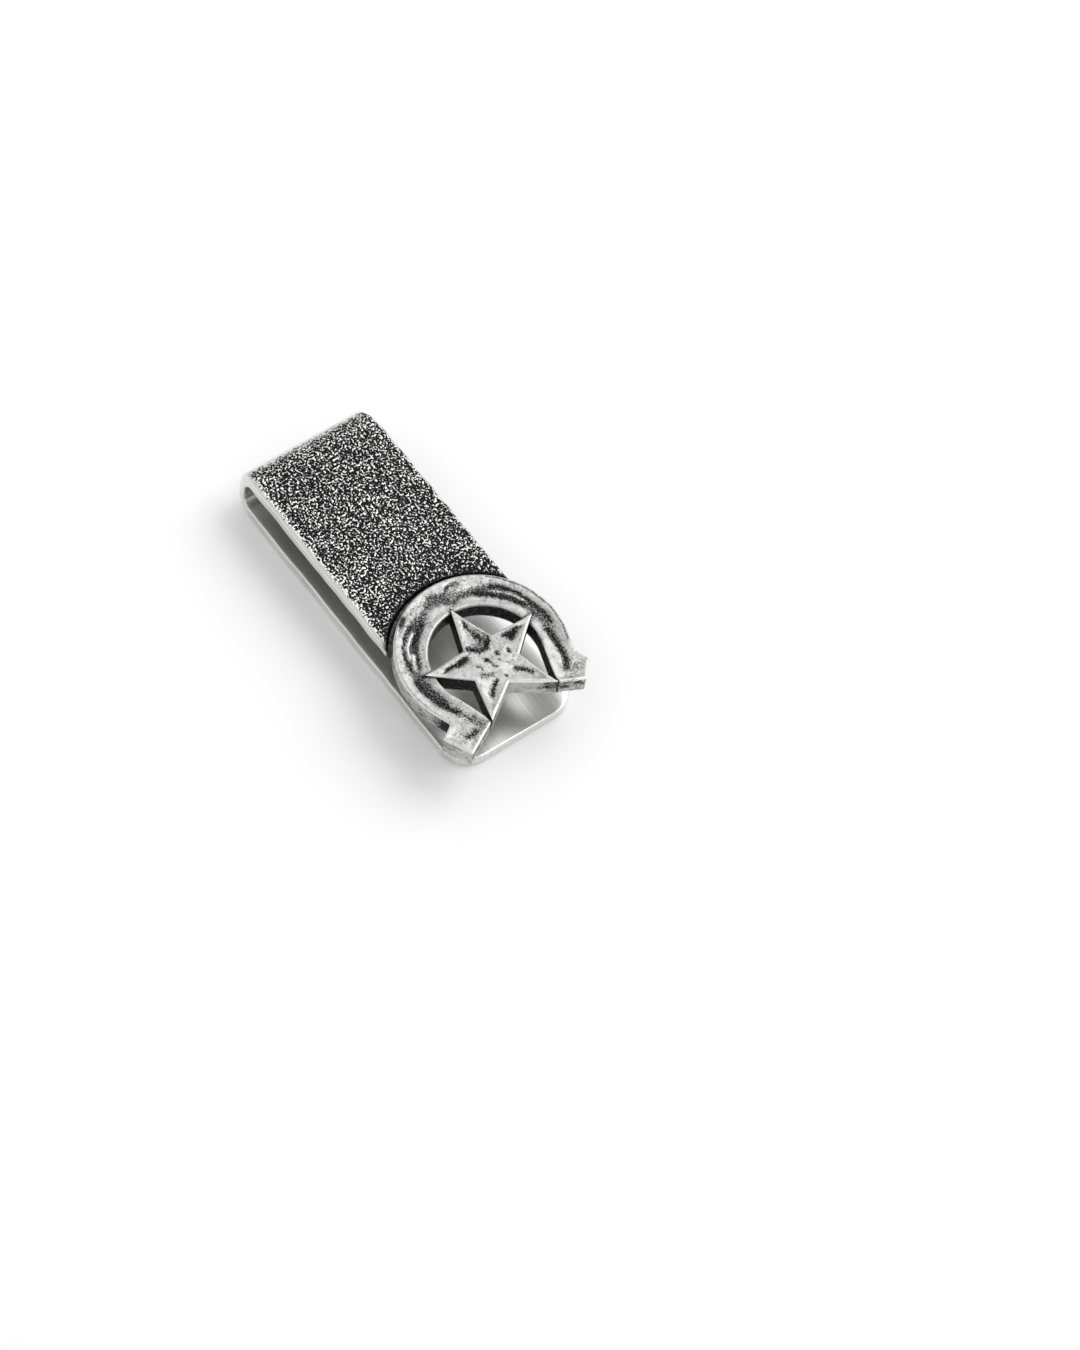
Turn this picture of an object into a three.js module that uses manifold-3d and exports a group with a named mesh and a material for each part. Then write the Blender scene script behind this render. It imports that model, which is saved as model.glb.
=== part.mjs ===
// A money clip: one metal strip bent into a U, with a horseshoe and a five-pointed star soldered
// to the end of its front leaf. Millimetres, +Z up. The rear leaf lies on z = 0, the bend is at -X,
// and the origin is the centre of the rear leaf's flat underside.

import * as THREE from 'three';
import { mergeVertices } from 'three/addons/utils/BufferGeometryUtils.js';
import Module from 'manifold-3d';

const wasm = await Module();
wasm.setup();

// Driving dimensions
const STRIP_WIDTH = 19.1;
const STRIP_THICKNESS = 1.65;
const CLIP_HEIGHT = 8.0; // underside of the rear leaf to the top of the front leaf
const BEND_RADIUS = 3.2; // outside of the two corners of the bend
const REAR_LEAF_LENGTH = 48.3; // back of the bend to the free end
const REAR_CORNER_RADIUS = 4.0; // rounded corners of the rear leaf's free end
const STAR_FROM_BACK = 40.9; // back of the bend to the centre of the star
const SHOE_THICKNESS = 2.77;
const STAR_THICKNESS = 2.99;
const STAR_TIP_RADIUS = 8.6;
const STAR_INNER_RADIUS = 3.66;
const SOFT_EDGE = 0.2; // rounding of the cast edges
const JOINT_GAP = 0.1; // capillary gap at every soldered face
const FLEX_GAP = 0.3; // between the two halves of the bend, on the flexing line

// Horseshoe outline, measured from the centre of the star, +X towards the heels
const OUTER = { x: -1.77, radius: 11.15, halfMouth: THREE.MathUtils.degToRad(70) };
const INNER = { x: -1.0, radius: 7.25, halfMouth: THREE.MathUtils.degToRad(70) };
const NOTCH = [4.5, 9.65]; // where each branch steps out to its heel
const HEEL_INSIDE = [[6.95, 5.2], [5.6, 5.4]]; // from the heel's end into the opening
const LEFT_HEEL = [[5.75, 11.65], [9.4, 9.8]]; // the longer heel, at -Y
const RIGHT_HEEL = [[6.2, 10.4], [8.5, 8.4]];
const GROOVE = { x: -1.5, radius: 9.25, width: 1.6, depth: 0.35, halfMouth: THREE.MathUtils.degToRad(62) };
const SEAM_WIDTH = 0.5; // solder between the horseshoe's toe and the strip
const SEAM_RECESS = 0.25; // how far the seam lies below the strip's top
const TIP_SOLDER = { reach: 1.15, height: 1.0, width: 0.3 };

const BACK_X = -(REAR_LEAF_LENGTH + BEND_RADIUS) / 2;
const STAR_X = BACK_X + STAR_FROM_BACK;
const LEAF_UNDERSIDE = CLIP_HEIGHT - STRIP_THICKNESS;
const ARC_STEPS = 24;

const textured = new THREE.MeshStandardMaterial({ color: 0x8a8a88, roughness: 0.55, metalness: 0.9 });
const polished = new THREE.MeshStandardMaterial({ color: 0xc9c9c6, roughness: 0.3, metalness: 0.95 });
const solder = new THREE.MeshStandardMaterial({ color: 0x4a4a48, roughness: 0.6, metalness: 0.8 });

// Booleans

function solidOf(geometry) {
  const bare = geometry.clone();
  bare.deleteAttribute('normal');
  bare.deleteAttribute('uv');
  const merged = mergeVertices(bare, 1e-5);
  return new wasm.Manifold(new wasm.Mesh({
    numProp: 3,
    vertProperties: new Float32Array(merged.attributes.position.array),
    triVerts: new Uint32Array(merged.index.array),
  }));
}

function geometryOf(solid) {
  const mesh = solid.getMesh();
  const indexed = new THREE.BufferGeometry();
  indexed.setAttribute('position', new THREE.BufferAttribute(new Float32Array(mesh.vertProperties), 3));
  indexed.setIndex(new THREE.BufferAttribute(new Uint32Array(mesh.triVerts), 1));
  const flat = indexed.toNonIndexed();
  flat.computeVertexNormals();
  return flat;
}

const cut = (geometry, ...tools) => geometryOf(
  tools.reduce((solid, tool) => solid.subtract(solidOf(tool)), solidOf(geometry)),
);

const common = (geometry, ...others) => geometryOf(
  others.reduce((solid, other) => solid.intersect(solidOf(other)), solidOf(geometry)),
);

// Solids

// An outline in X and Y raised from z = bottom to z = top, with rounded rims when edge is given.
function raise(shape, bottom, top, edge = 0) {
  const geometry = new THREE.ExtrudeGeometry(shape, {
    depth: top - bottom - 2 * edge,
    curveSegments: ARC_STEPS,
    bevelEnabled: edge > 0,
    bevelThickness: edge,
    bevelSize: edge,
    bevelOffset: -edge,
    bevelSegments: 2,
  });
  geometry.translate(0, 0, bottom + edge);
  return geometry;
}

// A side outline in X and Z drawn out across the strip's width.
function drawAcross(shape) {
  const geometry = raise(shape, -STRIP_WIDTH / 2, STRIP_WIDTH / 2, SOFT_EDGE);
  geometry.rotateX(Math.PI / 2);
  return geometry;
}

// The upper half of the strip seen from the side, from the middle of the bend to the leaf's end.
function halfStripOutline(endX) {
  const inside = BEND_RADIUS - STRIP_THICKNESS;
  const cornerX = BACK_X + BEND_RADIUS;
  const cornerZ = CLIP_HEIGHT - BEND_RADIUS;
  const splitZ = (CLIP_HEIGHT + FLEX_GAP) / 2;
  const shape = new THREE.Shape();
  shape.moveTo(BACK_X, splitZ);
  shape.lineTo(BACK_X, cornerZ);
  shape.absarc(cornerX, cornerZ, BEND_RADIUS, Math.PI, Math.PI / 2, true);
  shape.lineTo(endX, CLIP_HEIGHT);
  shape.lineTo(endX, LEAF_UNDERSIDE);
  shape.lineTo(cornerX, LEAF_UNDERSIDE);
  shape.absarc(cornerX, cornerZ, inside, Math.PI / 2, Math.PI, false);
  shape.lineTo(BACK_X + STRIP_THICKNESS, splitZ);
  shape.closePath();
  return shape;
}

function circle(x, radius) {
  const shape = new THREE.Shape();
  shape.absarc(x, 0, radius, 0, 2 * Math.PI, false);
  return shape;
}

function starOutline(scale = 1) {
  const shape = new THREE.Shape();
  for (let corner = 0; corner < 10; corner += 1) {
    const radius = scale * (corner % 2 ? STAR_INNER_RADIUS : STAR_TIP_RADIUS);
    const angle = Math.PI + (corner * Math.PI) / 5;
    const draw = corner ? 'lineTo' : 'moveTo';
    shape[draw](STAR_X + radius * Math.cos(angle), radius * Math.sin(angle));
  }
  shape.closePath();
  return shape;
}

// Every side of the star is as far from its centre, so a scaled star is an offset star.
function starGrownBy(offset) {
  const [tip, inner, turn] = [STAR_TIP_RADIUS, STAR_INNER_RADIUS, Math.PI / 5];
  const side = Math.hypot(tip - inner * Math.cos(turn), inner * Math.sin(turn));
  const sideDistance = (tip * inner * Math.sin(turn)) / side;
  return starOutline(1 + offset / sideDistance);
}

function shoeOutline() {
  const shape = new THREE.Shape();
  const at = ([x, y], side) => [STAR_X + x, side * y];
  shape.moveTo(...at(NOTCH, 1));
  shape.absarc(
    STAR_X + OUTER.x, 0, OUTER.radius, OUTER.halfMouth, 2 * Math.PI - OUTER.halfMouth, false,
  );
  [NOTCH, ...LEFT_HEEL, ...HEEL_INSIDE].forEach((point) => shape.lineTo(...at(point, -1)));
  shape.absarc(
    STAR_X + INNER.x, 0, INNER.radius, 2 * Math.PI - INNER.halfMouth, INNER.halfMouth, true,
  );
  [...HEEL_INSIDE].reverse().forEach((point) => shape.lineTo(...at(point, 1)));
  [...RIGHT_HEEL].reverse().forEach((point) => shape.lineTo(...at(point, 1)));
  shape.closePath();
  return shape;
}

// A band along an arc that is open towards +X.
function arcBand(centreX, innerRadius, outerRadius, halfMouth) {
  const shape = new THREE.Shape();
  shape.absarc(centreX, 0, outerRadius, halfMouth, 2 * Math.PI - halfMouth, false);
  shape.absarc(centreX, 0, innerRadius, 2 * Math.PI - halfMouth, halfMouth, true);
  shape.closePath();
  return shape;
}

// Sub-parts

const seamInside = OUTER.radius + JOINT_GAP;
const seamOutside = seamInside + SEAM_WIDTH;
const shoeCentreX = STAR_X + OUTER.x;
const shoeTop = LEAF_UNDERSIDE + SHOE_THICKNESS;
const starTop = LEAF_UNDERSIDE + STAR_THICKNESS;
const PAST = 1; // how far a cutting tool runs past the faces that it cuts

// The front leaf and the upper half of the bend, hollowed at its end to fit round the toe.
function frontLeaf() {
  const toe = raise(circle(shoeCentreX, seamOutside + JOINT_GAP), LEAF_UNDERSIDE - PAST, CLIP_HEIGHT + PAST);
  return cut(drawAcross(halfStripOutline(shoeCentreX)), toe);
}

// The rear leaf and the lower half of the bend, with rounded corners at the free end.
function rearLeaf() {
  const endX = BACK_X + REAR_LEAF_LENGTH;
  const half = STRIP_WIDTH / 2;
  const plan = new THREE.Shape();
  plan.moveTo(BACK_X - PAST, -half - PAST);
  plan.lineTo(endX - REAR_CORNER_RADIUS, -half - PAST);
  plan.lineTo(endX - REAR_CORNER_RADIUS, -half);
  plan.absarc(endX - REAR_CORNER_RADIUS, REAR_CORNER_RADIUS - half, REAR_CORNER_RADIUS, -Math.PI / 2, 0, false);
  plan.absarc(endX - REAR_CORNER_RADIUS, half - REAR_CORNER_RADIUS, REAR_CORNER_RADIUS, 0, Math.PI / 2, false);
  plan.lineTo(endX - REAR_CORNER_RADIUS, half + PAST);
  plan.lineTo(BACK_X - PAST, half + PAST);
  plan.closePath();
  const strip = drawAcross(halfStripOutline(endX));
  strip.rotateX(Math.PI);
  strip.translate(0, 0, CLIP_HEIGHT);
  return common(strip, raise(plan, -PAST, CLIP_HEIGHT + PAST));
}

function horseshoe() {
  const { x, radius, width, depth, halfMouth } = GROOVE;
  const groove = arcBand(STAR_X + x, radius - width / 2, radius + width / 2, halfMouth);
  const solderPocket = TIP_SOLDER.width + 2 * JOINT_GAP;
  const pockets = tipPlaces().map(([tipX, tipY]) => common(
    raise(starGrownBy(solderPocket), LEAF_UNDERSIDE - PAST, LEAF_UNDERSIDE + TIP_SOLDER.height + JOINT_GAP),
    tipDisc(tipX, tipY, TIP_SOLDER.reach + JOINT_GAP),
  ));
  return cut(
    raise(shoeOutline(), LEAF_UNDERSIDE, shoeTop, SOFT_EDGE),
    raise(groove, shoeTop - depth, shoeTop + PAST),
    raise(starGrownBy(JOINT_GAP), LEAF_UNDERSIDE - PAST, starTop + PAST),
    ...pockets,
  );
}

function tipPlaces() {
  return [0, 1, 2, 3, 4].map((tip) => {
    const angle = Math.PI + (tip * 2 * Math.PI) / 5;
    return [STAR_X + STAR_TIP_RADIUS * Math.cos(angle), STAR_TIP_RADIUS * Math.sin(angle)];
  });
}

function tipDisc(x, y, radius) {
  const disc = new THREE.CylinderGeometry(radius, radius, CLIP_HEIGHT, 2 * ARC_STEPS);
  disc.rotateX(Math.PI / 2);
  disc.translate(x, y, LEAF_UNDERSIDE);
  return disc;
}

// Solder that runs round one point of the star, in a pocket of the horseshoe's back.
function tipSolder([tipX, tipY]) {
  const top = LEAF_UNDERSIDE + TIP_SOLDER.height;
  const around = common(
    raise(starGrownBy(JOINT_GAP + TIP_SOLDER.width), LEAF_UNDERSIDE, top),
    tipDisc(tipX, tipY, TIP_SOLDER.reach),
    raise(shoeOutline(), LEAF_UNDERSIDE - PAST, top + PAST),
  );
  return cut(around, raise(starGrownBy(JOINT_GAP), LEAF_UNDERSIDE - PAST, top + PAST));
}

function toeSolder() {
  const middle = (seamInside + seamOutside) / 2;
  const halfMouth = Math.PI - Math.asin((STRIP_WIDTH / 2 - SOFT_EDGE) / middle);
  const band = arcBand(shoeCentreX, seamInside, seamOutside, halfMouth);
  return raise(band, LEAF_UNDERSIDE, CLIP_HEIGHT - SEAM_RECESS);
}

// Assembly

function piece(name, geometry, material) {
  const mesh = new THREE.Mesh(geometry, material.clone());
  mesh.name = name;
  return mesh;
}

const TIP_NAMES = ['toe', 'left_side', 'left_heel', 'right_heel', 'right_side'];

const moneyClip = new THREE.Group();
moneyClip.add(
  piece('rear_leaf', rearLeaf(), textured),
  piece('front_leaf', frontLeaf(), textured),
  piece('horseshoe', horseshoe(), polished),
  piece('star', raise(starOutline(), LEAF_UNDERSIDE, starTop, SOFT_EDGE / 2), polished),
  piece('toe_solder', toeSolder(), solder),
  ...tipPlaces().map((place, tip) => piece(`star_solder_${TIP_NAMES[tip]}`, tipSolder(place), solder)),
);

export default moneyClip;
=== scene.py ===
# A money clip in antiqued white metal. One textured strip is bent into a U, and a cast horseshoe and a
# star are soldered to the end of its front leaf. The functions below work in millimetres, in the
# CAD frame: the rear leaf lies on z = 0, the bend is at -X and the heels of the horseshoe at +X.
# Meshes are scaled to metres when they are made.

import math

import bmesh
import bpy
import numpy as np
from mathutils import Matrix, Vector, kdtree, noise


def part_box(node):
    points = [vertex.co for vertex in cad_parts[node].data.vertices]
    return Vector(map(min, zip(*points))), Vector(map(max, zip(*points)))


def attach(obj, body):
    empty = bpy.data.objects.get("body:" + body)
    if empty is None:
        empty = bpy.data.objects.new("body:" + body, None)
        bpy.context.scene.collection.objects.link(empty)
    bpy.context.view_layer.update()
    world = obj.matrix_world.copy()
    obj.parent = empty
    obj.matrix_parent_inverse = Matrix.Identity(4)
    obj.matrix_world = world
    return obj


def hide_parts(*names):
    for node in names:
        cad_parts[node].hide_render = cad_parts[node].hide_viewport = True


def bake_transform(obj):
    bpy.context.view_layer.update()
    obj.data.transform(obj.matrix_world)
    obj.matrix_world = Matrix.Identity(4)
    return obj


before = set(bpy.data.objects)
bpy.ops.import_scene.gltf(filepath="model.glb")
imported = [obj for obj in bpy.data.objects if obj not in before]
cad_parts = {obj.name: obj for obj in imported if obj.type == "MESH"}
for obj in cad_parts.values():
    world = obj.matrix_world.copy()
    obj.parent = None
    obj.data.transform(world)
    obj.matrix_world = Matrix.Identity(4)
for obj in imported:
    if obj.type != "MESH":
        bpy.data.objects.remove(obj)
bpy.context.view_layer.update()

MM = 0.001


# Sizes from the frame

def box_mm(node):
    low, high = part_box(node)
    return np.array(low) / MM, np.array(high) / MM


leaf_low, leaf_high = box_mm("front_leaf")
_, rear_high = box_mm("rear_leaf")
shoe_low, shoe_high = box_mm("horseshoe")
star_low, star_high = box_mm("star")

LEAF_TOP = leaf_high[2]
LEAF_UNDERSIDE = shoe_low[2]
THICKNESS = LEAF_TOP - LEAF_UNDERSIDE  # of the strip
BACK = leaf_low[0]  # of the bend
HALF_WIDTH = leaf_high[1]
REAR_END = rear_high[0]
SHOE_TOP = shoe_high[2]
STAR_TOP = star_high[2]
STAR_TIP = star_high[1] / math.sin(math.radians(72))  # from the star's centre to a point
STAR_X = star_low[0] + STAR_TIP  # the star's centre

# The strip
BEND_RADIUS = 3.2  # outside of the bend's two corners
REAR_CORNER = 4.0  # rounded corners of the rear leaf's free end
LEAF_ROUND = 0.5  # rounding of the outer face's long edges
BEND_ROUND = 1.15  # the same, round the bend
INNER_ROUND = 0.25  # of the inner face's edges
END_ROUND = 0.35  # of the leaf's hollowed end
SEAM_CLEAR = 0.7  # from the horseshoe's toe to the leaf's hollowed end
RELIEF_DEPTH = 0.06  # how deep the cast texture is cut
GRAIN_FOOT = 0.531  # the texture's level where a grain rises out of the pits
GRAIN_TOP = 0.588  # the level from which it is as high as the strip's face
CROWN_FOOT = 0.558  # the level where it starts to be rubbed bright
GRAIN_CROWN = 0.618  # the level from which it is fully rubbed
EDGE_SWAY = 0.012  # how far the long edges wander, as a share of the half width
FACE_DIP = 0.03  # how unevenly the outer face dips

# The horseshoe. Points of its heels are from the star's centre, with the right side at +Y.
TOE_RADIUS = 11.14
TOE_X = shoe_low[0] + TOE_RADIUS
INNER_X = STAR_X - 1.0
INNER_RADIUS = 7.25
GROOVE_BACK = 1.5  # how far the fullering groove's centre lies behind the star's
GROOVE_RADIUS = 9.2
GROOVE_DEPTH = 0.15
GROOVE_FADE = (108, 128)  # degrees round from the toe where it runs out
MARK_DEPTH = 0.09  # of the hammer marks
LUMP_DEPTH = 0.1  # of the face's unevenness
HALF_SWEEP = 110  # degrees of arc on each side of the toe
HEEL_INNER = ((6.95, 5.2), (5.9, 5.36), (4.4, 5.82))  # end, corner and notch, as the outlines below
LEFT_OUTER = ((9.4, 9.8), (5.75, 11.65), (4.5, 9.65))
RIGHT_OUTER = ((8.5, 8.4), (6.2, 10.4), (4.5, 9.65))
CAST_ROUND = 0.3  # rounding of the horseshoe's upper rims
HEEL_CAST_ROUND = 0.13  # the same at the heels
UNDER_ROUND = 0.25  # rounding of its lower rims
HEEL_ROUND = 0.15  # rounding of its upright edges at the heels
RUBBED_AND_HIGHLIT_EDGE = 0.13  # how far from an edge the castings are rubbed bright, with a painted highlight along the edge
RUBBED_AND_HIGHLIT_END = 0.24  # the same at the ends of the heels
NOTCH_SHADOW_AND_PATINA = 2.0  # how far round its notches the horseshoe's outer wall is darkened, by patina and painted shadow
PARTING = 0.46  # the mould's parting line, as a share of the way down the outer wall
PARTING_WIDTH = 0.035  # half its width, as the same share
PARTING_DEPTH = 0.04
WALL_SWELL = 0.02  # unevenness of the walls
FACING_SIDE_PATINA_AND_SHADE = 0.9  # how dark the horseshoe's and the star's facing sides are, from patina and painted shade between them

# The star
STAR_INNER = 3.66  # from its centre to a corner between two points
STAR_ROUND = 0.16  # rounding of its upper rim
STAR_UNDER_ROUND = 0.12
STAR_DENT_DEPTH = 0.13
STAR_LUMP_DEPTH = 0.05
STAR_RIM_STEP = 0.035  # how far the face lies below its rim along the arms
STAR_RIM_SLOPE = 0.08  # how far the face slopes down to the rim, besides its rounding


# Meshes

class Skin:
    """Points in millimetres, with named values at each point, and the faces between rows of them."""

    def __init__(self):
        self.points = []
        self.values = []
        self.faces = []
        self.count = 0

    def grid(self, points, wrap=False, **values):
        """Adds rows of points with four-sided faces between them, and returns their numbers."""
        rows, columns = points.shape[:2]
        number = self.count + np.arange(rows * columns).reshape(rows, columns)
        self.count += rows * columns
        self.points.append(points.reshape(-1, 3))
        self.values.append({name: value.reshape(rows * columns, -1) for name, value in values.items()})
        across = np.hstack([number, number[:, :1]]) if wrap else number
        self.quads(across[:-1, :-1], across[1:, :-1], across[1:, 1:], across[:-1, 1:])
        return number

    def quads(self, *corners):
        self.faces += np.stack(corners, -1).reshape(-1, 4).tolist()

    def zip(self, first, second):
        """Triangles between two rows that run the same way and needn't have as many points."""
        steps, others = len(first) - 1, len(second) - 1
        i = j = 0
        while i < steps or j < others:
            if j == others or (i < steps and (i + 1) * others <= (j + 1) * steps):
                self.faces.append([first[i], first[i + 1], second[j]])
                i += 1
            else:
                self.faces.append([first[i], second[j + 1], second[j]])
                j += 1

    def build(self, name):
        """A smooth-shaded object in metres."""
        points = np.vstack(self.points) * MM
        mesh = bpy.data.meshes.new(name)
        mesh.from_pydata(points.tolist(), [], self.faces)
        for key in self.values[0]:
            value = np.vstack([block[key] for block in self.values]).astype(np.float32)
            kind, field = ("FLOAT_VECTOR", "vector") if value.shape[1] == 3 else ("FLOAT", "value")
            mesh.attributes.new(key, kind, "POINT").data.foreach_set(field, value.ravel())
        work = bmesh.new()
        work.from_mesh(mesh)
        bmesh.ops.remove_doubles(work, verts=work.verts, dist=1e-8)
        bmesh.ops.recalc_face_normals(work, faces=work.faces)
        work.to_mesh(mesh)
        work.free()
        mesh.shade_smooth()
        piece = bpy.data.objects.new(name, mesh)
        bpy.context.scene.collection.objects.link(piece)
        return piece


def ease(value, low, high):
    """0 at low and before it, 1 at high and past it, and smooth between."""
    share = np.clip((value - low) / (high - low), 0, 1)
    return share * share * (3 - 2 * share)


def fading(distance, reach):
    """1 at no distance, and close to 0 past twice this reach."""
    return np.exp(-((distance / reach) ** 2))


def over(first, second):
    """Two shares of darkness, one laid over the other."""
    return 1 - (1 - first) * (1 - second)


def rounding(distance, radius):
    """How far a rounded edge has dropped at this distance in from the edge."""
    return radius - np.sqrt(np.maximum(radius**2 - np.clip(radius - distance, 0, radius) ** 2, 0))


def wave(x, y, size, seed=0.0):
    """Smooth unevenness from -1 to 1, with humps of about this size."""
    x, y = np.broadcast_arrays(x, y)
    points = np.stack([x / size, y / size], -1).reshape(-1, 2).tolist()
    values = [noise.noise(Vector((u, v, seed))) for u, v in points]
    return np.array(values).reshape(x.shape)


def edged(count, edge, edge_count):
    """Places from 0 to 1, closer together within edge of both ends."""
    near = edge * (1 - np.cos(np.linspace(0, np.pi / 2, edge_count + 1)))[:-1]
    middle = np.linspace(edge, 1 - edge, count)
    return np.concatenate([near, middle, 1 - near[::-1]])


def dent(u, v, line, width, end_width):
    """1 along a line of points, fading softly sideways, with a half width that tapers."""
    deepest = 0 * u
    parts = len(line) - 1
    for i, (start, end) in enumerate(zip(line[:-1], line[1:])):
        along = np.subtract(end, start)
        share = ((u - start[0]) * along[0] + (v - start[1]) * along[1]) / max(along @ along, 1e-9)
        share = np.clip(share, 0, 1)
        away = np.hypot(u - start[0] - share * along[0], v - start[1] - share * along[1])
        reach = width + (end_width - width) * (i + share) / parts
        deepest = np.maximum(deepest, np.exp(-0.8 * (away / reach) ** 2))
    return deepest


# Strip

BEND_X = BACK + BEND_RADIUS
CORNER_LENGTH = BEND_RADIUS * math.pi / 2
STRAIGHT_BACK = LEAF_TOP - 2 * BEND_RADIUS
BEND_LENGTH = 2 * CORNER_LENGTH + STRAIGHT_BACK
REAR_LENGTH = REAR_END - BEND_X


def strip_point(along, y, depth):
    """Where a point of the flat strip lies once it's bent. along is 0 where the front leaf ends in
    the bend, and grows round the bend to the rear leaf; depth is below the outer face."""
    turn_one = np.clip(along / BEND_RADIUS, 0, math.pi / 2)
    rest = along - CORNER_LENGTH - STRAIGHT_BACK
    turn_two = np.clip(rest / BEND_RADIUS, 0, math.pi / 2)
    turn = turn_one + turn_two
    x = BEND_X - BEND_RADIUS * np.sin(turn) - np.minimum(along, 0) + np.maximum(along - BEND_LENGTH, 0)
    drop = np.clip(along - CORNER_LENGTH, 0, STRAIGHT_BACK)
    z = LEAF_TOP - BEND_RADIUS + BEND_RADIUS * np.cos(turn) - drop
    wandered = y * (1 + EDGE_SWAY * wave(along, 7 * np.sign(y), 2.6, 44.0))
    return np.stack([x + depth * np.sin(turn), wandered, z - depth * np.cos(turn)], -1)


def strip_rows():
    """Each row's places along the strip, from the hollowed front end to the rear leaf's end. Rows
    on the front leaf are a share of the way to the front end, as it isn't straight."""
    front = np.linspace(-1, 0, 264)
    upper = np.linspace(0, CORNER_LENGTH, 42)[1:]
    lower = np.linspace(CORNER_LENGTH, BEND_LENGTH, 26)[1:]
    straight = np.linspace(BEND_LENGTH, BEND_LENGTH + REAR_LENGTH - REAR_CORNER, 24)[1:]
    corner = REAR_CORNER * np.sin(np.linspace(0, math.pi / 2, 22))[1:]
    return front, np.concatenate([upper, lower, straight, straight[-1] + corner])


def strip_face(columns, rows, front):
    """Places along and across the strip for every row and column. Columns are shares of the half
    width, from -1 to 1."""
    end = BEND_LENGTH + REAR_LENGTH
    left = np.clip(end - rows, 0, REAR_CORNER)
    narrowed = REAR_CORNER - np.sqrt(REAR_CORNER**2 - (REAR_CORNER - left) ** 2)
    half = np.concatenate([np.full(len(front), HALF_WIDTH), HALF_WIDTH - narrowed])
    y = half[:, None] * columns[None, :]
    toe = TOE_X - np.sqrt((TOE_RADIUS + SEAM_CLEAR) ** 2 - y[: len(front)] ** 2)
    along = np.vstack([front[:, None] * (toe - BEND_X), np.repeat(rows[:, None], len(columns), 1)])
    return along, y


def edge_distance(along, y):
    """How far in from the strip's sides and rear end a point is."""
    over_x = along - (BEND_LENGTH + REAR_LENGTH - REAR_CORNER)
    over_y = np.abs(y) - (HALF_WIDTH - REAR_CORNER)
    outside = np.hypot(np.maximum(over_x, 0), np.maximum(over_y, 0))
    return REAR_CORNER - outside - np.minimum(np.maximum(over_x, over_y), 0)


def toe_distance(along, y):
    """How far from the horseshoe's toe a point of the front leaf is. The rest counts as far away."""
    gap = np.hypot(BEND_X - along - TOE_X, y) - TOE_RADIUS
    return np.where(along < 0, gap, 99.0)


def outer_face_depth(along, y, inset, toe_gap):
    """How far the outer face drops at its rounded edges and dips between them."""
    middle = BEND_LENGTH / 2
    bent = 1 - ease(np.abs(along - middle), middle - 2.0, middle + 2.5)
    edge_round = LEAF_ROUND + (BEND_ROUND - LEAF_ROUND) * bent
    depth = np.maximum(rounding(inset, edge_round), rounding(toe_gap - SEAM_CLEAR, END_ROUND))
    return depth + FACE_DIP * (1 - wave(along, y, 5.0, 3.0)) * ease(inset, 0, 2)


def texture_share(along, y, inset, toe_gap):
    """How fully the outer face is textured: smooth by its long edges and from the bend on."""
    ragged = inset + 0.25 * wave(along, y, 0.9, 8.0) + 0.12 * wave(along, y, 0.4, 12.0)
    share = np.where(y < 0, ease(ragged, 0.3, 1.15), ease(ragged, 0.1, 0.6))
    share = share * (1 - 0.14 * ease(along, -2.5, 1.0))
    share = share * (1 - ease(along + 0.5 * wave(along, y, 1.1, 14.0), 1.1, 2.5))
    return share * (1 + 0.2 * (1 - ease(toe_gap, 0.5, 5.0)))


def strip_side(along, y, outer_depth, inner_depth):
    """Places between the outer face's edge and the inner face's."""
    depth = outer_depth + (inner_depth - outer_depth) * np.linspace(0, 1, 8)[1:-1]
    return along + 0 * depth, y + 0 * depth, depth


def strip():
    """The whole strip: its outer face, right edge, inner face and left edge, wrapped round."""
    front, rows = strip_rows()
    across = 2 * HALF_WIDTH
    fine = 2 * edged(199, 0.6 / across, 8) - 1
    coarse = 1 - 2 * edged(21, INNER_ROUND / across, 4)

    along, y = strip_face(fine, rows, front)
    inset = edge_distance(along, y)
    toe_gap = toe_distance(along, y)
    outer_depth = outer_face_depth(along, y, inset, toe_gap)
    in_along, in_y = strip_face(coarse, rows, front)
    in_depth = THICKNESS - rounding(edge_distance(in_along, in_y), INNER_ROUND)
    right = strip_side(along[:, -1:], y[:, -1:], outer_depth[:, -1:], in_depth[:, :1])
    left = strip_side(along[:, :1], y[:, :1], outer_depth[:, :1], in_depth[:, -1:])
    left = [value[:, ::-1] for value in left]

    around = ((along, y, outer_depth), right, (in_along, in_y, in_depth), left)
    shape = np.hstack([strip_point(*places) for places in around])
    flat_along = np.hstack([places[0] for places in around])
    flat_y = np.hstack([places[1] for places in around])
    sheet = np.stack([flat_along, flat_y, 0 * flat_along], -1)
    cut = np.zeros(shape.shape[:2])
    cut[:, : len(fine)] = texture_share(along, y, inset, toe_gap)
    toe_shadow_and_oxide = np.zeros(shape.shape[:2])
    # Patina and painted shadow along the horseshoe's toe, where the leaf meets it.
    toe_shadow_and_oxide[:, : len(fine)] = 1 - ease(toe_gap, SEAM_CLEAR, SEAM_CLEAR + 0.9)

    skin = Skin()
    number = skin.grid(shape, wrap=True, sheet=sheet, cut=cut, toe=toe_shadow_and_oxide)
    for row in (number[0], number[-1]):
        outer_row = row[: len(fine)]
        rest = np.concatenate([[row[0]], row[: len(fine) - 1 : -1], [row[len(fine) - 1]]])
        skin.zip(outer_row, rest)
    piece = skin.build("strip")
    cut_relief(piece)
    return piece


# Node trees

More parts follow.
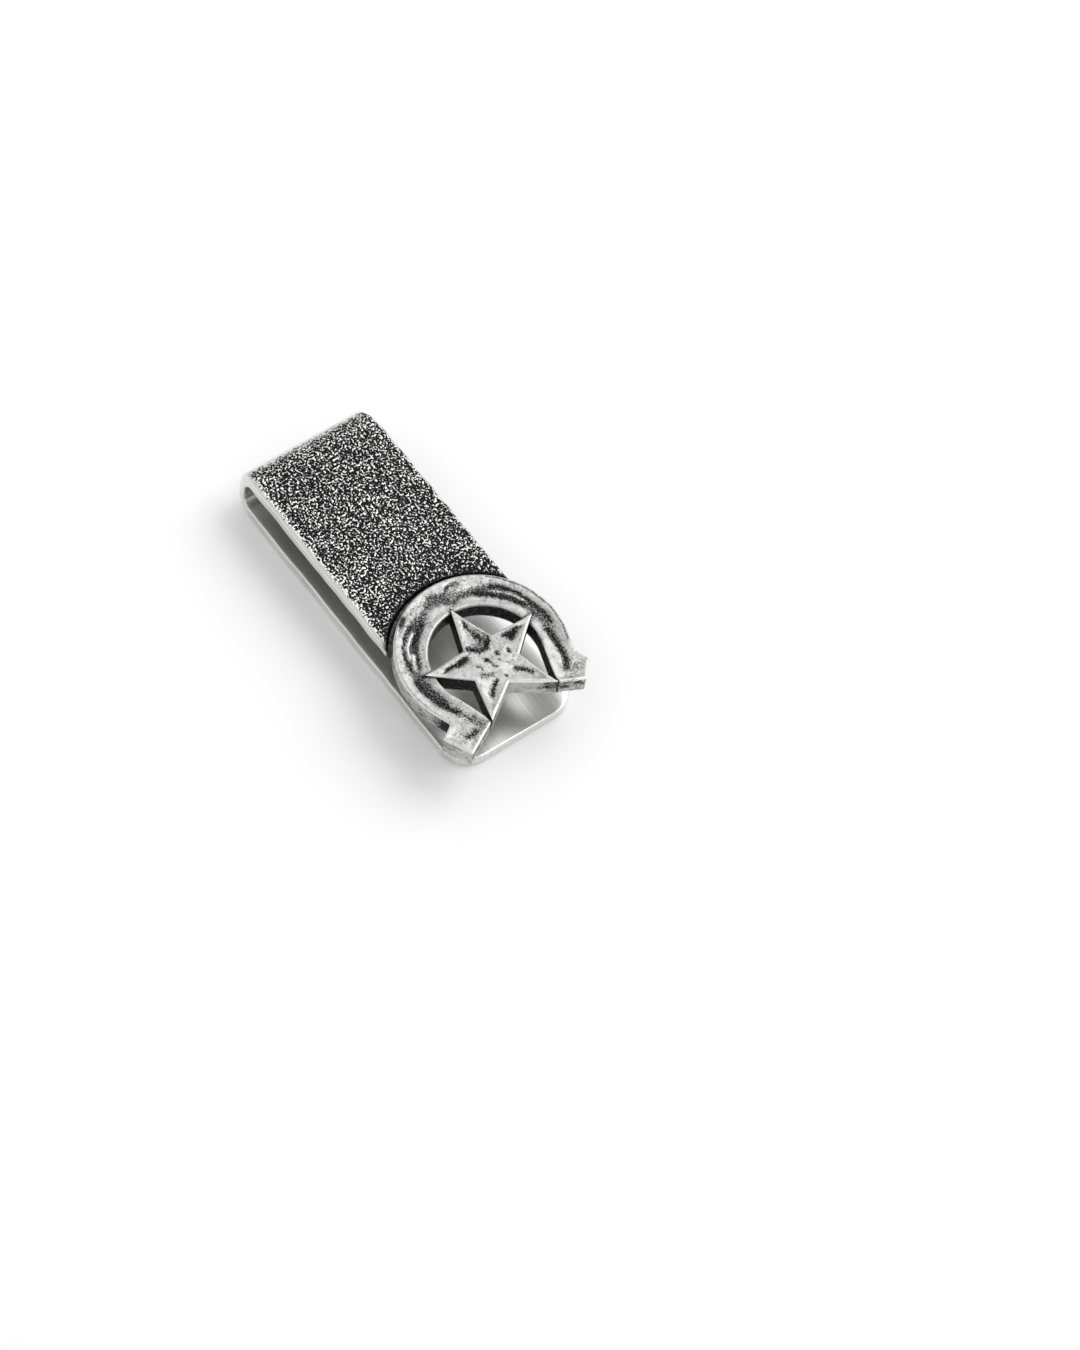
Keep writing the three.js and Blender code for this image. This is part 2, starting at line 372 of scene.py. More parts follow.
class Graph:
    """Short ways to add nodes to a shader or geometry tree."""

    def __init__(self, tree):
        self.tree = tree

    def add(self, kind, inputs=None, **settings):
        node = self.tree.nodes.new(kind)
        for name, value in settings.items():
            setattr(node, name, value)
        for key, value in (inputs or {}).items():
            if isinstance(value, bpy.types.NodeSocket):
                self.tree.links.new(value, node.inputs[key])
            else:
                node.inputs[key].default_value = value
        return node

    def math(self, operation, first, second=0.0):
        return self.add("ShaderNodeMath", {0: first, 1: second}, operation=operation).outputs[0]

    def scaled(self, vector, scale):
        inputs = {0: vector, "Scale": scale}
        return self.add("ShaderNodeVectorMath", inputs, operation="SCALE").outputs[0]

    def noise(self, where, scale, detail=0.0, roughness=0.5, distortion=0.0):
        inputs = {"Vector": where, "Scale": scale, "Detail": detail}
        inputs |= {"Roughness": roughness, "Distortion": distortion}
        return self.add("ShaderNodeTexNoise", inputs).outputs[0]

    def range(self, value, low, high, to_low=0.0, to_high=1.0):
        inputs = {0: value, 1: low, 2: high, 3: to_low, 4: to_high}
        return self.add("ShaderNodeMapRange", inputs, interpolation_type="SMOOTHSTEP").outputs[0]

    def colour(self, share, first, second):
        node = self.add("ShaderNodeMix", {0: share}, data_type="RGBA")
        for socket, value in ((node.inputs[6], first), (node.inputs[7], second)):
            if isinstance(value, bpy.types.NodeSocket):
                self.tree.links.new(value, socket)
            else:
                socket.default_value = (*value, 1)
        return node.outputs[2]


def reticulation(graph, sheet, cut):
    """How far the cast texture stands up, from about 0.3 in its pits to 0.75 on its highest grains,
    in a shader or a geometry tree. sheet is the place on the flat strip in millimetres, and the
    pits close as cut nears 0."""
    broad = graph.noise(sheet, 0.33, 0.5)
    rings = graph.math("MULTIPLY", graph.math("SINE", graph.math("MULTIPLY", broad, 55.0)), 0.022)
    crowd = graph.noise(sheet, 0.45, 2.0)
    grain = graph.noise(sheet, 3.5, 1.0, 0.5, 0.45)
    crowded = graph.range(crowd, 0.35, 0.65, -0.024, 0.016)
    level = graph.math("ADD", graph.math("ADD", grain, rings), crowded)
    closing = graph.math("MULTIPLY", graph.math("SUBTRACT", 1.0, cut), 0.15)
    return graph.math("ADD", level, closing)


def cut_relief(piece):
    """Presses the cast texture into the mesh, for good."""
    tree = bpy.data.node_groups.new("relief", "GeometryNodeTree")
    tree.interface.new_socket("Geometry", in_out="INPUT", socket_type="NodeSocketGeometry")
    tree.interface.new_socket("Geometry", in_out="OUTPUT", socket_type="NodeSocketGeometry")
    graph = Graph(tree)
    source = graph.add("NodeGroupInput")
    named = "GeometryNodeInputNamedAttribute"
    sheet = graph.add(named, {0: "sheet"}, data_type="FLOAT_VECTOR").outputs[0]
    cut = graph.add(named, {0: "cut"}, data_type="FLOAT").outputs[0]
    normal = graph.add("GeometryNodeInputNormal").outputs[0]
    height = graph.range(reticulation(graph, sheet, cut), GRAIN_FOOT, GRAIN_TOP)
    pit = graph.math("SUBTRACT", 1.0, height)
    pit = graph.math("MULTIPLY", pit, graph.range(cut, 0.0, 0.1))
    depth = graph.math("MULTIPLY", pit, -RELIEF_DEPTH * MM)
    offset = graph.scaled(normal, depth)
    moved = graph.add("GeometryNodeSetPosition", {"Geometry": source.outputs[0], "Offset": offset})
    graph.add("NodeGroupOutput", {0: moved.outputs[0]})
    piece.modifiers.new("relief", "NODES").node_group = tree
    bpy.context.view_layer.update()
    shown = piece.evaluated_get(bpy.context.evaluated_depsgraph_get())
    piece.data = bpy.data.meshes.new_from_object(shown)
    piece.modifiers.clear()
    piece.data.name = piece.name


# Horseshoe

MARK_RADIUS = 9.25  # where an angle is turned into a length along the branch

# Hammer and punch marks: a line of places, each an angle about the toe's centre and a distance from
# it, then the half width at each end, and how dark the mark has stayed.
SHOE_MARKS = (
    (((44, 10.5), (52, 10.2), (62, 9.5), (78, 8.75)), 0.3, 0.26, 1.0),
    (((84, 9.8), (94, 9.65), (104, 9.6)), 0.2, 0.2, 0.9),
    (((104, 9.6), (116, 9.7), (127, 9.72), (137, 9.6)), 0.12, 0.26, 0.95),
    (((86, 8.9), (104, 8.7)), 0.4, 0.35, 0.5),
    (((108, 8.65), (120, 8.45), (134, 8.25), (147, 8.3)), 0.25, 0.3, 1.0),
    (((130, 9.2), (150, 9.0)), 0.3, 0.35, 0.4),
    (((146, 8.4), (158, 8.3), (165, 8.0), (173, 7.6)), 0.25, 0.3, 0.7),
    (((163, 10.25), (172, 9.95)), 0.28, 0.14, 0.7),
    (((170, 9.95), (175, 9.4), (180, 9.35), (187, 9.8)), 0.12, 0.2, 0.6),
    (((176, 8.1), (182, 8.25), (189, 7.9)), 0.3, 0.3, 0.75),
    (((186, 9.5), (200, 9.2), (214, 9.0)), 0.7, 0.8, 0.5),
    (((216, 9.55), (224, 9.8), (234, 9.95), (244, 9.75), (253, 9.45)), 0.16, 0.18, 0.9),
    (((210, 8.35), (222, 8.2), (236, 8.35), (253, 8.35)), 0.3, 0.25, 0.9),
    (((222, 8.5), (230, 8.85), (239, 9.2)), 0.25, 0.16, 0.8),
    (((212, 10.7), (217, 10.62)), 0.22, 0.2, 1.0),
    (((217, 10.62), (227, 10.6)), 0.1, 0.08, 0.5),
    (((253, 9.3), (268, 9.1)), 0.6, 0.6, 0.45),
    (((266, 9.6), (278, 9.55), (292, 9.4), (303, 9.45)), 0.26, 0.28, 0.88),
    (((303, 9.45), (313, 9.75), (322, 10.4)), 0.28, 0.5, 0.68),
    (((272, 8.8), (282, 8.65), (294, 8.8)), 0.26, 0.22, 0.7),
    (((36, 11.3), (47, 11.8)), 0.45, 0.4, 0.5),
    (((319.6, 11.55), (315.2, 12.6)), 0.2, 0.16, 0.85),
    (((303, 11.4), (314, 12.5)), 0.7, 0.8, 0.28),
    (((66, 10.85), (96, 10.83), (120, 10.8), (142, 10.85)), 0.07, 0.07, 0.75),
)
# Ridges rubbed bright between them: a line of places, half width and how much it is rubbed.
SHOE_RIDGES = (
    (((221, 9.0), (232, 9.35), (244, 9.25)), 0.22, 0.85),
    (((242, 8.75), (254, 8.95)), 0.26, 0.9),
    (((184, 7.9), (196, 8.2)), 0.5, 0.8),
    (((196, 9.6), (206, 9.3)), 0.2, 0.4),
    (((112, 9.2), (126, 9.05), (139, 8.8)), 0.16, 0.6),
    (((150, 9.6), (164, 9.3)), 0.3, 0.5),
    (((60, 8.3), (48, 9.3)), 0.3, 0.5),
)


def heel_pairs(outer, side):
    """A heel's outer and inner points from its end to where the arcs begin, side being 1 at +Y."""
    turn = math.radians(180 - HALF_SWEEP)
    outer_end = (TOE_X - STAR_X + TOE_RADIUS * math.cos(turn), TOE_RADIUS * math.sin(turn))
    inner_end = (INNER_X - STAR_X + INNER_RADIUS * math.cos(turn), INNER_RADIUS * math.sin(turn))
    flip = np.array([1, side])
    return np.array([*outer, outer_end]) * flip, np.array([*HEEL_INNER, inner_end]) * flip


def along_line(points, step):
    """Pairs of points spaced about a step apart along the first line, keeping its corners."""
    outer, inner = points
    rows = []
    for i in range(len(outer) - 1):
        count = max(2, round(float(np.linalg.norm(outer[i + 1] - outer[i])) / step))
        share = np.linspace(0, 1, count, endpoint=False)[:, None]
        pair = [line[i] + (line[i + 1] - line[i]) * share for line in (outer, inner)]
        rows.append(np.hstack(pair))
    return np.vstack(rows)


def softened(points, reach):
    """The line with its corners rounded by averaging over reach points on each side."""
    padded = np.vstack([points[:1]] * reach + [points] + [points[-1:]] * reach)
    weights = np.hanning(2 * reach + 3)[1:-1]
    weights /= weights.sum()
    smooth = np.stack([np.convolve(column, weights, "valid") for column in padded.T], -1)
    order = np.arange(len(points))
    blend = np.clip(np.minimum(order, order[::-1]) / reach, 0, 1)[:, None]
    return points + (smooth - points) * blend


def shoe_edges():
    """The horseshoe's outer and inner edge, point for point, from the left heel to the right."""
    turn = np.radians(180 + HALF_SWEEP * np.linspace(1, -1, 356))
    arc = np.stack([
        TOE_X - STAR_X + TOE_RADIUS * np.cos(turn), TOE_RADIUS * np.sin(turn),
        INNER_X - STAR_X + INNER_RADIUS * np.cos(turn), INNER_RADIUS * np.sin(turn),
    ], -1)
    left = along_line(heel_pairs(LEFT_OUTER, -1), 0.12)
    right = along_line(heel_pairs(RIGHT_OUTER, 1), 0.12)[::-1]
    both = softened(np.vstack([left, arc, right]), 3)
    fine = np.array([0, 0.1, 0.25, 0.45, 0.7])[:, None]
    first, last = both[0] + (both[1] - both[0]) * fine, both[-1] + (both[-2] - both[-1]) * fine
    both = np.vstack([first, both[1:-1], last[::-1]])
    outer, inner = both[:, :2], both[:, 2:]
    middle = (outer + inner) / 2
    step = np.linalg.norm(np.diff(middle, axis=0), axis=1)
    gone = np.concatenate([[0], np.cumsum(step)])
    from_end = np.minimum(gone, gone[-1] - gone)[:, None]
    inward = (inner - outer) / np.linalg.norm(inner - outer, axis=1)[:, None]
    pinch = rounding(from_end, HEEL_ROUND)
    offset = np.array([STAR_X, 0])
    return outer + inward * pinch + offset, inner - inward * pinch + offset


def nearest(outline, points):
    """Each point's distance to a closed outline."""
    tree = kdtree.KDTree(8 * len(outline))
    step = (np.roll(outline, -1, 0) - outline) / 8
    for i in range(8):
        for j, (x, y) in enumerate((outline + i * step).tolist()):
            tree.insert((x, y, 0), 8 * j + i)
    tree.balance()
    flat = points.reshape(-1, 2).tolist()
    return np.array([tree.find((x, y, 0))[2] for x, y in flat]).reshape(points.shape[:-1])


def star_outline(steps):
    """Points along the star's sides, this many to each, from the point towards the bend."""
    turn = math.pi + np.arange(11) * math.pi / 5
    radius = np.where(np.arange(11) % 2, STAR_INNER, STAR_TIP)
    corners = np.stack([STAR_X + radius * np.cos(turn), radius * np.sin(turn)], -1)
    share = np.linspace(0, 1, steps, endpoint=False)[None, :, None]
    return (corners[:-1, None] + (corners[1:] - corners[:-1])[:, None] * share).reshape(-1, 2)


def shoe_marks(x, y):
    """How deep, how dark and how rubbed bright the hammered face is, each from 0 to 1."""
    angle = np.degrees(np.arctan2(y, x - TOE_X)) % 360
    out = np.hypot(x - TOE_X, y)
    sway = 0.12 * wave(x, y, 1.6, 5.0) + 0.05 * wave(x, y, 0.6, 9.0)
    u, v = np.radians(angle) * MARK_RADIUS, out + sway
    deep = 0 * x
    dark = 0 * x
    for line, width, end_width, shade in SHOE_MARKS:
        places = [(math.radians(turn) * MARK_RADIUS, reach) for turn, reach in line]
        mark = dent(u, v, places, 1.75 * width, 1.75 * end_width)
        deep = np.maximum(deep, mark * min(1, 0.35 + shade * 0.5))
        dark = over(dark, mark * shade)
    ridge = 0 * x
    for line, width, rubbed in SHOE_RIDGES:
        places = [(math.radians(turn) * MARK_RADIUS, reach) for turn, reach in line]
        ridge = np.maximum(ridge, rubbed * dent(u, v, places, width, width))
    return deep, dark, ridge


def sweep(x, y):
    """Degrees round from the toe, on either side."""
    return np.abs(np.degrees(np.arctan2(y, TOE_X - x)))


def shoe_face(x, y, distance):
    """How far the hammered face is pressed in, how dark it has stayed and where it is a ridge."""
    out = np.hypot(x - STAR_X + GROOVE_BACK, y)
    groove = 1 - ease(np.abs(out - GROOVE_RADIUS), 0.35, 1.25)
    groove = groove * (1 - ease(sweep(x, y), *GROOVE_FADE))
    deep, dark, ridge = shoe_marks(x, y)
    lumps = 0.5 + 0.5 * wave(x, y, 1.3, 1.0)
    inside = ease(distance, 0.15, 0.9)
    hollow = GROOVE_DEPTH * groove + MARK_DEPTH * deep * inside + LUMP_DEPTH * lumps * inside
    hollow = hollow * (1 - 0.6 * ridge)
    low_place = ease(0.17 * groove + 0.1 * lumps * groove, 0.06, 0.25) * (1 - ridge)
    return hollow, over(dark * (1 - ridge), 0.55 * low_place), ridge


def shoe_wall(start, stop, inward, down):
    """A slightly uneven wall from one edge to another, down being 0 to 1 on the way."""
    points = start[:, None] + (stop - start)[:, None] * down[None, :, None]
    along = np.arange(len(points))[:, None] * 0.1
    uneven = WALL_SWELL * (1 + wave(points[..., 2] * 2, along, 1.2, 7.0)) * np.sin(np.pi * down)
    points[..., :2] += inward[:, None] * uneven[..., None]
    return points


def outer_wall_shade(outer, edge, wall, down, parting):
    """Darkening on the outer wall: sandy stains, darker below the parting line, black at the notches from
    patina and painted shadow, and lighter on the heels, partly a painted reflection.
    """
    round_wall = wall[..., 0] + wall[..., 1]
    spots = ease(wave(round_wall, 2 * wall[..., 2], 1.3, 21.0), 0.15, 0.5)
    patchy = ease(wave(round_wall, wall[..., 2], 0.9, 33.0), -0.3, 0.3)
    seam = fading(down - 0.14, 0.07) * ease(wave(edge[:, :1], edge[:, 1:2], 2.0, 4.0), -0.2, 0.3)
    sandy = 0.12 + 0.4 * spots + 0.22 * ease(down, PARTING, PARTING + 0.1)
    # Less stain on the heels' walls, partly a painted reflection of a light surface beside them.
    sandy = sandy * (1 - 0.6 * ease(sweep(outer[:, :1], outer[:, 1:]), 118, 124))
    # Black at the notches: patina and painted shadow.
    notch_x, notch_y = LEFT_OUTER[2]
    notch_shadow_and_patina = np.hypot(outer[:, 0] - STAR_X - notch_x, np.abs(outer[:, 1]) - notch_y)
    notch_shadow_and_patina = np.minimum(1, 1.3 * fading(notch_shadow_and_patina, NOTCH_SHADOW_AND_PATINA))[:, None]
    lines = np.maximum(0.7 * seam, 0.85 * parting * patchy)
    return np.maximum(np.maximum(sandy, lines), notch_shadow_and_patina)


def heel_end(skin, rim, face, under, across, face_shade, seed):
    """Closes a heel's end, whose rim runs down both of its walls."""
    start, stop = rim
    cap = start[:, None] + (stop - start)[:, None] * across[None, :, None]
    cap[0], cap[-1] = face, under
    blot = ease(wave(cap[..., 1] * 1.4, cap[..., 2] * 1.4, 1.0, seed), -0.3, 0.4)
    fall = np.linspace(0, 1, len(cap))[:, None]
    darkening = ease(fall, 0.02, 0.14) * (0.4 + 0.5 * blot) * (1 - 0.6 * ease(fall, 0.5, 0.85))
    darkening[0] = face_shade
    # Rubbed bright just below the heel's rim, with a painted highlight along it.
    rubbed_and_highlit_share = fading(fall * (SHOE_TOP - LEAF_UNDERSIDE), RUBBED_AND_HIGHLIT_EDGE)
    skin.grid(cap, dark=darkening, rubbed=rubbed_and_highlit_share + 0 * darkening)


def horseshoe():
    """The casting's face, outer wall, underside and inner wall, wrapped round and closed at the heels."""
    outer, inner = shoe_edges()
    across = edged(30, 0.1, 7)
    end_share = np.linspace(0, 1, 50)[1:-1, None]
    right_end = outer[-1] + (inner[-1] - outer[-1]) * end_share
    left_end = inner[0] + (outer[0] - inner[0]) * end_share
    outline = np.vstack([outer, right_end, inner[::-1], left_end])

    top_xy = inner[:, None] + (outer - inner)[:, None] * across[None, :, None]
    x, y = top_xy[..., 0], top_xy[..., 1]
    distance = nearest(outline, top_xy)
    hollow, dark, ridge = shoe_face(x, y, distance)
    # Patina and painted shade round the star's points, where they lie over the horseshoe.
    star_shade_and_patina = fading(nearest(star_outline(20), top_xy), 0.45)
    dark = over(dark, 0.75 * star_shade_and_patina)
    crisp = CAST_ROUND + (HEEL_CAST_ROUND - CAST_ROUND) * ease(sweep(x, y), 112, 124)
    top = np.dstack([top_xy, SHOE_TOP - rounding(distance, crisp) - hollow])
    low_xy = top_xy[:, ::-1]
    low = np.dstack([low_xy, LEAF_UNDERSIDE + rounding(nearest(outline, low_xy), UNDER_ROUND)])

    down = np.linspace(0, 1, 25)[1:-1]
    parting = fading(down - PARTING, PARTING_WIDTH)
    inward = (inner - outer) / np.linalg.norm(inner - outer, axis=1)[:, None]
    outer_wall = shoe_wall(top[:, -1], low[:, 0], inward, down)
    outer_wall[..., :2] += PARTING_DEPTH * inward[:, None] * parting[None, :, None]
    inner_wall = shoe_wall(low[:, -1], top[:, 0], -inward, down)
    shape = np.hstack([top, outer_wall, low, inner_wall])
    wall = slice(len(across), len(across) + len(down))

    shade = np.zeros(shape.shape[:2])
    shade[:, : len(across)] = dark
    shade[:, wall] = outer_wall_shade(outer, top_xy[:, -1], outer_wall, down, parting)
    # The inner wall: patina and painted shade between the castings.
    shade[:, -len(down) :] = FACING_SIDE_PATINA_AND_SHADE
    shade[[0, -1], len(across) :] = 1.0
    # Edges rubbed bright by wear and lit with a painted highlight, most of all along the heels' ends,
    # less by the star's points.
    face_rubbed_and_highlit = (0.75 + 0.25 * wave(x, y, 1.4, 41.0)) * (1 - 0.7 * star_shade_and_patina) * fading(distance, RUBBED_AND_HIGHLIT_EDGE)
    end_gap = np.minimum(nearest(right_end, top_xy), nearest(left_end, top_xy))
    face_rubbed_and_highlit = np.maximum(face_rubbed_and_highlit, fading(end_gap, RUBBED_AND_HIGHLIT_END))
    rubbed_and_highlit_share = np.zeros(shape.shape[:2])
    rubbed_and_highlit_share[:, : len(across)] = np.maximum(face_rubbed_and_highlit, 0.3 * ridge)
    rubbed_and_highlit_share[:, wall] = fading(down * (SHOE_TOP - LEAF_UNDERSIDE), RUBBED_AND_HIGHLIT_EDGE)

    skin = Skin()
    skin.grid(shape, wrap=True, dark=shade, rubbed=rubbed_and_highlit_share)
    for end, seed in ((0, 31.0), (-1, 30.0)):
        start = np.vstack([top[end, :1], inner_wall[end, ::-1], low[end, -1:]])
        stop = np.vstack([top[end, -1:], outer_wall[end], low[end, :1]])
        face_shade = shade[end, : len(across)]
        heel_end(skin, (start, stop), top[end], low[end, ::-1], across, face_shade, seed)
    return skin.build("horseshoe_casting")


# Star

# Dents in plan, from the star's centre: a line of places, the half width at each end, depth and
# darkness.
STAR_DENTS = (
    (((-6.3, 0.15), (-3.0, 0.0)), 0.1, 0.9, 1.0, 0.25),
    (((-3.2, 1.25), (-2.5, 0.9), (-2.2, 0.2), (-2.4, -0.6), (-2.7, -1.2)), 0.36, 0.34, 0.5, 0.4),
    (((-4.6, 0.4), (-3.0, 0.6)), 0.14, 0.3, 0.3, 0.45),
    (((-2.75, 1.45), (-1.85, 0.57), (-1.8, -0.5), (-2.7, -1.55)), 0.13, 0.15, 0.2, 0.8),
    (((-6.2, 0.25), (-5.6, 0.15)), 0.12, 0.16, 0.3, 0.9),
    (((-5.5, 0.2), (-3.8, 0.5)), 0.12, 0.2, 0.1, 0.5),
    (((-2.05, 6.1), (-1.6, 3.9)), 0.1, 0.42, 1.0, 0.6),
    (((-2.1, 5.6), (-2.05, 3.1)), 0.1, 0.12, 0.2, 0.9),
    (((-1.8, 4.9), (-1.35, 3.9)), 0.14, 0.2, 0.2, 0.7),
    (((5.2, 3.9), (2.6, 1.8)), 0.1, 0.45, 0.9, 0.2),
    (((4.05, 3.3), (3.3, 2.75), (2.6, 1.9)), 0.16, 0.2, 0.4, 0.95),
    (((5.4, -4.05), (2.2, -1.7)), 0.12, 0.55, 0.8, 0.1),
    (((2.7, -1.15), (3.2, -2.05), (4.1, -2.85)), 0.14, 0.22, 0.5, 1.0),
    (((1.65, -1.2), (1.15, -2.3)), 0.22, 0.2, 0.4, 0.55),
    (((-1.8, -2.6), (-1.75, -3.6), (-1.75, -6.0)), 0.25, 0.08, 0.8, 0.6),
    (((-1.95, -2.5), (-1.95, -5.6)), 0.12, 0.1, 0.3, 0.75),
    (((-1.5, -3.2), (-1.4, -4.2)), 0.2, 0.14, 0.2, 0.6),
    (((-0.2, 2.65), (0.1, 2.5)), 0.14, 0.12, 0.5, 0.85),
    (((0.1, 2.5), (0.75, 2.75), (1.4, 2.3), (1.5, 1.6), (1.0, 1.2)), 0.08, 0.08, 0.2, 0.4),
    (((-0.55, 1.2), (-0.45, 1.15)), 0.2, 0.2, 0.5, 1.0),
    (((0.35, 0.9), (0.55, 0.9)), 0.1, 0.1, 0.3, 0.6),
    (((-0.5, -0.65), (-0.4, -0.6)), 0.17, 0.17, 0.4, 0.95),
    (((-0.4, -0.5), (0.15, -0.3), (0.7, -0.3), (1.1, 0.0)), 0.1, 0.1, 0.3, 0.65),
    (((2.8, 0.25), (2.75, 0.15)), 0.12, 0.12, 0.4, 0.8),
    (((-0.15, -2.15), (0.2, -1.8), (0.6, -1.95)), 0.12, 0.08, 0.3, 0.6),
)


def star_face(x, y, distance):
    """How far the star's face is pressed in and how dark it has stayed, from its centre."""
    sway_x, sway_y = x + 0.12 * wave(x, y, 0.9, 11.0), y + 0.12 * wave(x, y, 0.9, 17.0)
    deep = 0 * x
    dark = 0 * x
    for line, width, end_width, depth, shade in STAR_DENTS:
        mark = dent(sway_x, sway_y, line, 2.1 * width, 2.1 * end_width)
        deep = np.maximum(deep, mark * depth)
        dark = over(dark, mark * min(0.85, 1.15 * shade))
    inside = ease(distance, 0.25, 0.7)
    arm = ease(np.hypot(x, y), 2.6, 3.6)
    border = fading(distance - 0.46 - 0.06 * wave(x, y, 0.7, 5.0), 0.09)
    border = border * arm * (0.3 + 0.3 * wave(x, y, 1.2, 6.0))
    lumps = 0.5 + 0.5 * wave(x, y, 1.1, 2.0)
    hollow = STAR_DENT_DEPTH * deep * inside + STAR_LUMP_DEPTH * lumps * inside
    hollow = hollow + STAR_RIM_STEP * arm * ease(distance, 0.34, 0.52)
    return hollow, over(dark, border)


def star_wall_shade(wall, down):
    """Darkening on the star's sides: patina and painted shade inside the horseshoe, and patchy in its
    open mouth.
    """
    x, y = wall[..., 0] - STAR_X, wall[..., 1]
    mouth = np.abs(np.degrees(np.arctan2(y, x))) < 36
    patch = 0.3 * ease(wave(y, wall[..., 2] * 1.5, 1.1, 25.0), 0.0, 0.5)
    tips = 0.7 * ease(np.hypot(x, y), 5.6, 8.0) * (1 - 0.6 * ease(down, 0.5, 0.85))
    return np.where(mouth, patch + tips, FACING_SIDE_PATINA_AND_SHADE)


def star():
    """Rings of points from the middle of the face, over the rim and down to the middle underneath."""
    outline = star_outline(48)
    half_angle = math.pi / 5
    side = STAR_TIP * STAR_INNER * math.sin(half_angle)  # from the centre to the line of an edge
    side /= math.hypot(STAR_TIP - STAR_INNER * math.cos(half_angle), STAR_INNER * math.sin(half_angle))
    # Rings lie closer together near the rim.
    edge = side * (1 - np.cos(np.linspace(0, math.pi / 2, 9))) * 0.16
    inset = np.concatenate([edge[:-1], np.linspace(edge[-1], side, 24)[:-1]])[::-1]
    centre = np.array([STAR_X, 0])
    xy = centre + (outline - centre)[None] * (1 - inset / side)[:, None, None]
    x, y = xy[..., 0] - STAR_X, xy[..., 1]
    distance = np.repeat(inset[:, None], len(outline), 1)
    hollow, dark = star_face(x, y, distance)
    blunt = 0.2 + 0.8 * ease(STAR_TIP - np.hypot(x, y), 0.0, 1.8)
    slope = STAR_RIM_SLOPE * (1 - ease(distance, 0.0, 0.7))
    edge_drop = blunt * (rounding(distance, STAR_ROUND) + slope)
    top = np.dstack([xy, STAR_TOP - edge_drop - hollow])

    scale = np.array([1.0, 0.985, 0.95, 0.8, 0.6, 0.4, 0.2])
    low_xy = centre + (outline - centre)[None] * scale[:, None, None]
    low_z = LEAF_UNDERSIDE + rounding((1 - scale) * side, STAR_UNDER_ROUND)[:, None] + 0 * low_xy[..., 0]
    low = np.dstack([low_xy, low_z])
    down = np.linspace(0, 1, 16)[1:-1, None]
    wall = top[-1][None] + (low[0] - top[-1])[None] * down[..., None]
    shape = np.vstack([top, wall, low])
    sides = slice(len(top), len(top) + len(wall))

    shade = np.zeros(shape.shape[:2])
    shade[: len(top)] = dark
    shade[sides] = star_wall_shade(wall, down)
    rubbed_and_highlit_share = np.zeros(shape.shape[:2])
    # The star's edges rubbed bright by wear, with a painted highlight along them.
    rubbed_and_highlit_share[: len(top)] = fading(distance, RUBBED_AND_HIGHLIT_EDGE)
    rubbed_and_highlit_share[sides] = fading(down * (STAR_TOP - LEAF_UNDERSIDE), RUBBED_AND_HIGHLIT_EDGE)

    skin = Skin()
    number = skin.grid(shape, wrap=True, dark=shade, rubbed=rubbed_and_highlit_share)
    none = np.zeros((1, 1))
    for row, z in ((number[0], STAR_TOP - float(hollow[0].mean())), (number[-1], LEAF_UNDERSIDE)):
        hub = skin.grid(np.array([[[STAR_X, 0, z]]]), dark=none, rubbed=none)[0, 0]
        following = np.roll(row, -1)
        skin.faces += [[a, b, hub] for a, b in zip(row.tolist(), following.tolist())]
    return skin.build("star_casting")


# Solder

SOLDER_VOXEL = 0.06
SOLDER_SHRINK = 0.02  # how far the skin lies inside the CAD solid, on average


def scaled_mesh(mesh, factor, name):
    """A copy of a mesh, scaled about the origin."""
    work = bmesh.new()
    work.from_mesh(mesh)
    bmesh.ops.scale(work, vec=(factor, factor, factor), verts=work.verts)
    copy = bpy.data.meshes.new(name)
    work.to_mesh(copy)
    work.free()
    return copy


def solder_run(node):
    """The node's solder as it sets: in the same place, with soft corners and an uneven skin."""
    name = node + "_run"
    draft = bpy.data.objects.new("run", scaled_mesh(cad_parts[node].data, 1 / MM, "run"))
    bpy.context.scene.collection.objects.link(draft)
    remesh = draft.modifiers.new("remesh", "REMESH")
    remesh.mode = "VOXEL"
    remesh.voxel_size = SOLDER_VOXEL
    smooth = draft.modifiers.new("smooth", "SMOOTH")
    smooth.factor = 0.5
    smooth.iterations = 4
    bpy.context.view_layer.update()
    shown = draft.evaluated_get(bpy.context.evaluated_depsgraph_get())
    work = bmesh.new()
    work.from_mesh(bpy.data.meshes.new_from_object(shown))
    bmesh.ops.recalc_face_normals(work, faces=work.faces)
    for vert in work.verts:
        vert.co -= vert.normal * SOLDER_SHRINK * (1 + noise.noise(vert.co * 1.7))
    bmesh.ops.scale(work, vec=(MM, MM, MM), verts=work.verts)
    run = bpy.data.meshes.new(name)
    work.to_mesh(run)
    work.free()
    run.shade_smooth()
    bpy.data.objects.remove(draft)
    piece = bpy.data.objects.new(name, run)
    bpy.context.scene.collection.objects.link(piece)
    return piece


# Materials

SILVER = (0.54, 0.54, 0.535)
DULL_SILVER = (0.37, 0.37, 0.367)
DRAWN_SILVER = (0.78, 0.78, 0.77)
CLOUDED_SILVER = (0.64, 0.64, 0.635)
# Rubbed metal of the strip's grains and the castings' edges, also the colour of the castings' painted
# highlights
BURNISHED_AND_HIGHLIGHT = (0.86, 0.86, 0.85)
OXIDE = (0.014, 0.014, 0.0145)
OXIDISED_SOLDER = (0.16, 0.16, 0.16)
PALE_FLOOR = (0.97, 0.97, 0.97)
FLOOR_CLOUD = (0.94, 0.94, 0.94)


def new_material(name):
    """An empty metal material, with its graph and its shader."""
    material = bpy.data.materials.new(name)
    material.use_nodes = True
    graph = Graph(material.node_tree)
    shader = material.node_tree.nodes["Principled BSDF"]
    shader.inputs["Metallic"].default_value = 1.0
    return material, graph, shader


def attribute(graph, name, vector=False):
    node = graph.add("ShaderNodeAttribute", attribute_name=name)
    return node.outputs["Vector" if vector else "Fac"]


